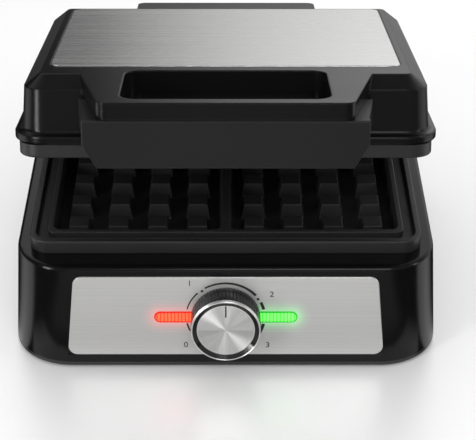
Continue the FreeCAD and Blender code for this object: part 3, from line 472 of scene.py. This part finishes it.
def spun_material():
    """Spun metal: fine rings about the dial's axis stretch highlights along its radii. A dark ring round the face
    is a painted reflection, and bright lines at its edges are painted highlights.
    """
    material, tree, shader, place = start("knob_steel")
    dial = use_group(tree, DIAL_PLACES, place)
    radius = dial.outputs["Radius"]
    rings = add(tree, "ShaderNodeTexNoise", noise_dimensions="1D", in_Scale=5200.0, in_Detail=2.0)
    join(tree, radius, rings.inputs["W"])
    # Broad lighter and darker sectors round the axis: partly a spun sunburst finish, partly a painted sheen.
    sunburst_and_sheen = add(tree, "ShaderNodeTexNoise", noise_dimensions="1D", in_Scale=2.4, in_Detail=3.0)
    angle = maths(tree, "ARCTAN2", dial.outputs["Up"], dial.outputs["Right"])
    join(tree, maths(tree, "SINE", angle), sunburst_and_sheen.inputs["W"])
    ring_share = product(tree, rings.outputs["Fac"], 0.2)
    sunburst_and_sheen_share = product(tree, sunburst_and_sheen.outputs["Fac"], 0.8)
    lightness = remap(tree, maths(tree, "ADD", ring_share, sunburst_and_sheen_share), 0.35, 0.65, 0.0, 1.0)
    face = blend_colour(tree, lightness, (0.8, 0.795, 0.79), (1.0, 0.995, 0.985))

    # Painted reflection and painted highlights: the sloping ring is painted dark, and a line along its inner edge
    # and the lip are painted bright.
    painted_dark_ring = remap(tree, radius, PAINTED_DARK_RING_RADIUS - RING_BLEND, PAINTED_DARK_RING_RADIUS + RING_BLEND, 0.0, 1.0)
    from_ring = maths(tree, "ABSOLUTE", maths(tree, "SUBTRACT", radius, PAINTED_DARK_RING_RADIUS))
    painted_highlight_line = remap(tree, from_ring, LINE_NEAR, LINE_FAR, 1.0, 0.0)
    painted_lip_highlight = remap(tree, radius, LIP_RADIUS, LIP_RADIUS + LIP_BLEND, 0.0, 1.0)
    tone = blend_colour(tree, painted_dark_ring, face, (0.06, 0.0595, 0.059))
    tone = blend_colour(tree, larger(tree, painted_highlight_line, painted_lip_highlight), tone, (0.98, 0.975, 0.97))
    join(tree, tone, shader.inputs["Base Color"])

    satin = remap_noise(tree, rings.outputs["Fac"], 0.36, 0.44)
    polish = product(tree, maths(tree, "SUBTRACT", painted_dark_ring, painted_lip_highlight), RING_POLISH)
    join(tree, maths(tree, "SUBTRACT", satin, polish), shader.inputs["Roughness"])
    shader.inputs["Metallic"].default_value = 0.93
    shader.inputs["Anisotropic"].default_value = 0.9
    outwards = add(tree, "ShaderNodeVectorMath", operation="SUBTRACT")
    join(tree, place, outwards.inputs[0])
    outwards.inputs[1].default_value = DIAL
    stretch_along(tree, shader, outwards.outputs[0])
    bump(tree, shader, rings.outputs["Fac"], 0.004, SPUN_DEPTH)
    return material


def nonstick_material():
    """Black non-stick coating with a faint fleck and a soft sheen."""
    material = plastic(
        "nonstick", colour=(0.013, 0.013, 0.0138), roughness=0.42, spread=0.12, specular=0.45,
        grain=1400.0, depth=0.35, edge=0.9 * MM,
    )
    tree, shader, place = inside(material)
    fleck = add(tree, "ShaderNodeTexVoronoi", in_Scale=900.0)
    join(tree, place, fleck.inputs["Vector"])
    spots = remap(tree, fleck.outputs["Distance"], 0.06, 0.14, 0.35, 0.0)
    plain = shader.inputs["Base Color"].links[0].from_socket
    join(tree, blend_colour(tree, spots, plain, (0.075, 0.075, 0.08)), shader.inputs["Base Color"])
    return material


PLASTICS = {
    "base_black": dict(
        colour=(0.003, 0.003, 0.0032), roughness=0.16, spread=0.02, specular=0.2, coat=0.04,
        grain=500.0, depth=0.03, edge=1.2 * MM,
    ),
    "cover_black": dict(colour=(0.02, 0.02, 0.0205), roughness=0.42, spread=0.06, specular=0.3),
    "foot_rubber": dict(
        colour=(0.02, 0.02, 0.02), roughness=0.75, spread=0.12, specular=0.25, grain=1300.0, depth=0.4
    ),
    "board": dict(colour=(0.03, 0.12, 0.05), roughness=0.45),
    "switch_plastic": dict(colour=(0.62, 0.6, 0.54), roughness=0.5),
    "lead_sleeve": dict(
        colour=(0.66, 0.64, 0.6), roughness=0.7, spread=0.1, specular=0.3, grain=2200.0, depth=0.6
    ),
    "lid_black": dict(
        colour=(0.0035, 0.0035, 0.0037), roughness=0.23, spread=0.02, specular=0.22,
        grain=1300.0, depth=0.1, edge=1.6 * MM,
    ),
    "frame_grey": dict(colour=(0.015, 0.015, 0.0157), roughness=0.4, spread=0.1, specular=0.42),
    "handle_grey": dict(
        colour=(0.0065, 0.0065, 0.0069), roughness=0.42, spread=0.02, specular=0.3,
        grain=1500.0, depth=0.2, edge=1.2 * MM,
    ),
    "hinge_grey": dict(colour=(0.02, 0.02, 0.02), roughness=0.42, spread=0.03, specular=0.42),
    "knob_black": dict(
        colour=(0.004, 0.004, 0.0043), roughness=0.26, spread=0.04, specular=0.34, coat=0.05,
        grain=1000.0, depth=0.1,
    ),
    "print_ink": dict(
        colour=(0.02, 0.02, 0.021), roughness=0.5, spread=0.1, specular=0.3, grain=2400.0, depth=0.1, edge=0.0
    ),
}
METALS = {
    "zinc": dict(colour=(0.56, 0.56, 0.54), roughness=0.34, metallic=0.9, contrast=0.2),
    "element_steel": dict(colour=(0.26, 0.25, 0.24), roughness=0.5, metallic=0.85, contrast=0.3),
    "tray_aluminium": dict(
        colour=(0.72, 0.72, 0.73), roughness=0.32, metallic=0.95, contrast=0.12, brushed=True
    ),
    "lid_steel": dict(
        colour=(0.8, 0.795, 0.79), roughness=0.25, metallic=0.95, contrast=0.05, brushed=True, depth=0.06
    ),
    "bush_brass": dict(colour=(0.7, 0.52, 0.22), roughness=0.3, metallic=0.95, contrast=0.15),
}
MATERIALS = {
    **{name: plastic(name, **finish) for name, finish in PLASTICS.items()},
    **{name: metal(name, **finish) for name, finish in METALS.items()},
    "panel_steel": panel_material(),
    "red_lens": lens_material("red_lens", deep=(0.42, 0.003, 0.003), bright=(1.0, 0.1, 0.035)),
    "green_lens": lens_material("green_lens", deep=(0.006, 0.28, 0.015), bright=(0.16, 0.93, 0.12)),
    "knob_steel": spun_material(),
    "nonstick": nonstick_material(),
}

for subpart in frame["record"]["subparts"]:
    node_mesh = frame["nodes"][subpart["node"]].data
    node_mesh.materials.clear()
    node_mesh.materials.append(MATERIALS[subpart["material_slot"]])


# Print on the control panel, and ink in the knob's pointer groove

# Both are drawn about the dial's centre: X to the right, Y up the panel, Z out of it.
DIAL_MATRIX = Matrix.Translation(DIAL) @ Matrix.Rotation(DIAL_TILT, 4, "X")


def add_ink(name, mesh, body):
    """Makes an inked piece of a mesh and joins it to its body."""
    mesh.materials.clear()
    mesh.materials.append(MATERIALS["print_ink"])
    piece = bpy.data.objects.new(name, mesh)
    scene.collection.objects.link(piece)
    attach(piece, body)


def ribbon(vertices, faces, stations, thickness=PRINT_THICKNESS, base=PRINT_BASE):
    """Adds a closed thin strip of ink through stations of two points each."""
    first = len(vertices)
    for left, right in stations:
        for height in (base, base + thickness):
            vertices.append((*left, height))
            vertices.append((*right, height))
    last = first + 4 * (len(stations) - 1)
    for here in range(first, last, 4):
        there = here + 4
        faces.append((here + 2, here + 3, there + 3, there + 2))
        faces.append((here, there, there + 1, here + 1))
        faces.append((here, here + 2, there + 2, there))
        faces.append((here + 1, there + 1, there + 3, here + 3))
    faces.append((first, first + 1, first + 3, first + 2))
    faces.append((last, last + 2, last + 3, last + 1))


def ink_mesh(name, vertices, faces):
    """A mesh in the dial's coordinates, put in its place."""
    mesh = bpy.data.meshes.new(name)
    mesh.from_pydata([DIAL_MATRIX @ Vector(vertex) for vertex in vertices], [], faces)
    mesh.update()
    return mesh


def dial_point(radius, clockwise):
    """A point at an angle in degrees, clockwise from the top."""
    angle = math.radians(clockwise)
    return (radius * math.sin(angle), radius * math.cos(angle))


def arc_stations(start_angle, end_angle, start_width, end_width):
    """Stations along an arc that lies inside the ring's radius and changes its width evenly."""
    count = max(3, int((end_angle - start_angle) / RING_STEP_DEGREES))
    stations = []
    for step in range(count + 1):
        share = step / count
        angle = start_angle + (end_angle - start_angle) * share
        width = (start_width + (end_width - start_width) * share) * MM
        stations.append((dial_point(RING_RADIUS - width, angle), dial_point(RING_RADIUS, angle)))
    return stations


def dot_stations(angle):
    """Stations across a round dot."""
    x, y = dial_point(DOT_RING_RADIUS, angle)
    stations = []
    for step in range(DOT_STEPS + 1):
        turn = math.pi * step / DOT_STEPS
        across = x - DOT_RADIUS * math.cos(turn)
        half = max(DOT_RADIUS * math.sin(turn), DOT_TIP_HALF_WIDTH)
        stations.append(((across, y - half), (across, y + half)))
    return stations


def print_ring():
    """The broken ring round the dial, whose strokes grow clockwise."""
    vertices, faces = [], []
    for stroke in RING_STROKES:
        ribbon(vertices, faces, arc_stations(*stroke))
    for angle in RING_DOTS:
        ribbon(vertices, faces, dot_stations(angle))
    add_ink("dial_ring_print", ink_mesh("dial_ring_print", vertices, faces), "base")


def print_number(text, x, y):
    """One of the dial's settings, as a plain number."""
    curve = bpy.data.curves.new("setting_curve_" + text, "FONT")
    curve.body = text
    curve.align_x = "CENTER"
    curve.align_y = "CENTER"
    curve.size = NUMBER_SIZE
    curve.extrude = NUMBER_THICKNESS / 2
    drawn = bpy.data.objects.new("setting_text_" + text, curve)
    scene.collection.objects.link(drawn)
    bpy.context.view_layer.update()
    graph = bpy.context.evaluated_depsgraph_get()
    mesh = bpy.data.meshes.new_from_object(drawn.evaluated_get(graph))
    bpy.data.objects.remove(drawn)
    mesh.transform(DIAL_MATRIX @ Matrix.Translation((x * MM, y * MM, PRINT_BASE + NUMBER_THICKNESS / 2)))
    add_ink("dial_number_" + text, mesh, "base")


def ink_pointer():
    """Dark ink in the bottom of the knob's pointer groove, narrower at its ends."""
    vertices, faces = [], []
    stations = []
    for step in range(POINTER_STEPS + 1):
        y = POINTER_START + (POINTER_END - POINTER_START) * step / POINTER_STEPS
        half = POINTER_HALF_WIDTH
        if step in (0, POINTER_STEPS):
            half *= POINTER_TIP_SHARE
        stations.append(((-half, y), (half, y)))
    ribbon(vertices, faces, stations, POINTER_THICKNESS, POINTER_BASE)
    add_ink("knob_pointer_inlay", ink_mesh("knob_pointer_inlay", vertices, faces), "knob")


print_ring()
for number_text, (number_x, number_y) in NUMBER_PLACES.items():
    print_number(number_text, number_x, number_y)
ink_pointer()


# Floor, light and camera

FLOOR_REACH = 6.0
FLOOR_STEPS = 12

# Where each of the floor's cards starts or ends: the two places between which it fades
FOOT_STRIP_FRONT = (-0.142, -0.134)
FOOT_STRIP_BACK = (-0.11, -0.105)
MIDDLE_CARD_BACK = (-0.175, -0.135)
FAR_CARD_BACK = (-0.31, -0.2)
FRONT_CARD_SIDE = (0.13, 0.17)
REAR_CARD_FRONT = (0.16, 0.24)
REAR_CARD_LEFT = (-0.3, 0.1)

# The wedges at the base's front corners, each with its point under the base and two sides given as angles
WEDGE_POINT_X = 0.105
WEDGE_POINT_Y = -0.095
WEDGE_FRONT = (-0.3, -0.1)
WEDGE_BACK = (0.15, 0.8)

# The studio that reflections see, in parts of a direction one unit long
BACKDROP_LEFT_TO_RIGHT = (-0.08, 0.1)
BACKDROP_TOP = (0.34, 0.52)
CEILING_EDGE = (0.62, 0.8)
FRONT_CEILING_EDGE = (0.75, 0.95)
FRONT_TO_REAR = (0.05, 0.5)
DARK_LEFT = (-0.8, -0.4)

# The photograph's camera
PHOTO_WIDTH = 476
FOCAL_LENGTH_PIXELS = 1640.0
SENSOR_WIDTH = 36.0
CAMERA_PLACE = (0.001, -0.9025, 0.6176)
CAMERA_DOWN = math.radians(33.0)
CAMERA_ROLL = -0.0064


def floor_cards(tree, place):
    """What reflections see on the floor: pale cards on dark, where the black plastic needs a sheen."""
    x, y, _ = split_axes(tree, place)
    sideways = maths(tree, "ABSOLUTE", x)

    # In front: a bright strip at the foot, a grey card, and a brighter one further out
    foot = remap(tree, y, *FOOT_STRIP_FRONT, 0.0, 0.8)
    foot = product(tree, foot, remap(tree, y, *FOOT_STRIP_BACK, 1.0, 0.0))
    middle = remap(tree, y, *MIDDLE_CARD_BACK, 0.32, 0.0)
    far = remap(tree, y, *FAR_CARD_BACK, 0.6, 0.0)
    front = larger(tree, larger(tree, middle, far), foot)
    front = product(tree, remap(tree, sideways, *FRONT_CARD_SIDE, 1.0, 0.0), front)

    # Beside each front corner of the base: a wedge
    past_point = maths(tree, "SUBTRACT", sideways, WEDGE_POINT_X)
    behind_point = maths(tree, "SUBTRACT", y, WEDGE_POINT_Y)
    turn = maths(tree, "ARCTAN2", behind_point, past_point)
    wedge = product(tree, remap(tree, turn, *WEDGE_FRONT, 0.0, 1.0), remap(tree, turn, *WEDGE_BACK, 1.0, 0.0))

    # Behind: a card that fades to the left
    rear = remap(tree, y, *REAR_CARD_FRONT, 0.0, 0.34)
    rear = product(tree, rear, remap(tree, x, *REAR_CARD_LEFT, 0.1, 1.0))

    white = larger(tree, larger(tree, front, wedge), rear)
    return blend_colour(tree, white, grey(0.02), grey(1.0))


def floor_material():
    """Pale and faintly polished. Reflections see the cards instead, with no polish."""
    material, tree, shader, place = start("floor_white")
    noise = add(tree, "ShaderNodeTexNoise", in_Scale=3.0, in_Detail=2.0)
    join(tree, place, noise.inputs["Vector"])
    pale = blend_colour(tree, noise.outputs["Fac"], grey(0.95), grey(0.97))
    mirrored = add(tree, "ShaderNodeLightPath").outputs["Is Glossy Ray"]
    join(tree, blend_colour(tree, mirrored, pale, floor_cards(tree, place)), shader.inputs["Base Color"])
    shader.inputs["Specular IOR Level"].default_value = 0.0
    polish = add(tree, "ShaderNodeBsdfGlossy")
    join(tree, remap_noise(tree, noise.outputs["Fac"], 0.34, 0.38), polish.inputs["Roughness"])
    mixed = add(tree, "ShaderNodeMixShader")
    join(tree, remap(tree, mirrored, 0.0, 1.0, 0.35, 0.0), mixed.inputs["Fac"])
    join(tree, shader.outputs[0], mixed.inputs[1])
    join(tree, polish.outputs[0], mixed.inputs[2])
    join(tree, mixed.outputs[0], find(tree, "OUTPUT_MATERIAL").inputs["Surface"])
    return material


def make_floor():
    """A wide flat grid under the object."""
    side = [FLOOR_REACH * (2 * step / FLOOR_STEPS - 1) for step in range(FLOOR_STEPS + 1)]
    vertices = [(x, y, 0.0) for y in side for x in side]
    row = len(side)
    corners = [j * row + i for j in range(FLOOR_STEPS) for i in range(FLOOR_STEPS)]
    faces = [(corner, corner + 1, corner + row + 1, corner + row) for corner in corners]
    mesh = bpy.data.meshes.new("floor")
    mesh.from_pydata(vertices, [], faces)
    mesh.materials.append(floor_material())
    floor = bpy.data.objects.new("floor", mesh)
    scene.collection.objects.link(floor)


def make_world():
    """Near white to the camera and as plain light. Reflections see a studio, dark at left and in front."""
    world = bpy.data.worlds.new("studio")
    scene.world = world
    world.use_nodes = True
    tree = world.node_tree
    x, y, z = split_axes(tree, add(tree, "ShaderNodeTexCoord").outputs["Generated"])

    # Behind the object: a backdrop that brightens to the right, white above it, and a grey ceiling
    across = maths(tree, "POWER", remap(tree, x, *BACKDROP_LEFT_TO_RIGHT, 0.0, 1.0, smooth=False), 0.7)
    backdrop = blend_colour(tree, across, grey(0.0), grey(1.15))
    above = blend_colour(tree, remap(tree, z, *CEILING_EDGE, 0.0, 1.0), grey(1.12), grey(0.55))
    rear = blend_colour(tree, remap(tree, z, *BACKDROP_TOP, 0.0, 1.0), backdrop, above)

    # In front of it: grey, and darker overhead
    ahead = blend_colour(tree, remap(tree, z, *FRONT_CEILING_EDGE, 0.0, 1.0), grey(0.35), grey(0.08))
    studio = blend_colour(tree, remap(tree, y, *FRONT_TO_REAR, 0.0, 1.0), ahead, rear)
    studio = blend_colour(tree, remap(tree, x, *DARK_LEFT, 0.75, 0.0), studio, grey(0.0))

    mirrored = add(tree, "ShaderNodeLightPath").outputs["Is Glossy Ray"]
    join(tree, blend_colour(tree, mirrored, grey(0.9), studio), find(tree, "BACKGROUND").inputs["Color"])


def softbox(name, place, aim, width, height, power, mirrored=True):
    """A rectangular area light that faces a point, and that shiny surfaces may mirror."""
    data = bpy.data.lights.new(name, "AREA")
    data.shape = "RECTANGLE"
    data.size = width
    data.size_y = height
    data.energy = power
    lamp = bpy.data.objects.new(name, data)
    lamp.location = place
    lamp.visible_glossy = mirrored
    lamp.rotation_euler = (Vector(aim) - Vector(place)).to_track_quat("-Z", "Y").to_euler()
    scene.collection.objects.link(lamp)


def make_lights():
    """Two tall strips at the sides, a box above and behind, and a box in front."""
    softbox("left_strip", (-2.25, -2.09, 0.69), (0.0, -0.05, 0.08), width=0.62, height=2.25, power=62.5)
    softbox("right_strip", (2.88, -0.88, 0.88), (0.0, 0.0, 0.08), width=0.5, height=2.25, power=12.5)
    softbox("top_box", (-0.2, 0.95, 1.45), (0.0, 0.0, 0.1), width=1.0, height=0.8, power=4.5, mirrored=False)
    softbox("front_box", (0.25, -1.4, 1.3), (0.0, -0.1, 0.05), width=0.7, height=0.5, power=7.0)


def make_camera():
    """The photograph's view."""
    data = bpy.data.cameras.new("view")
    data.sensor_width = SENSOR_WIDTH
    data.sensor_fit = "HORIZONTAL"
    data.lens = FOCAL_LENGTH_PIXELS / PHOTO_WIDTH * SENSOR_WIDTH
    camera = bpy.data.objects.new("view", data)
    tilt = Matrix.Rotation(math.pi / 2 - CAMERA_DOWN, 4, "X") @ Matrix.Rotation(CAMERA_ROLL, 4, "Y")
    camera.matrix_world = Matrix.Translation(CAMERA_PLACE) @ tilt
    scene.collection.objects.link(camera)
    scene.camera = camera


make_floor()
make_world()
make_lights()
make_camera()
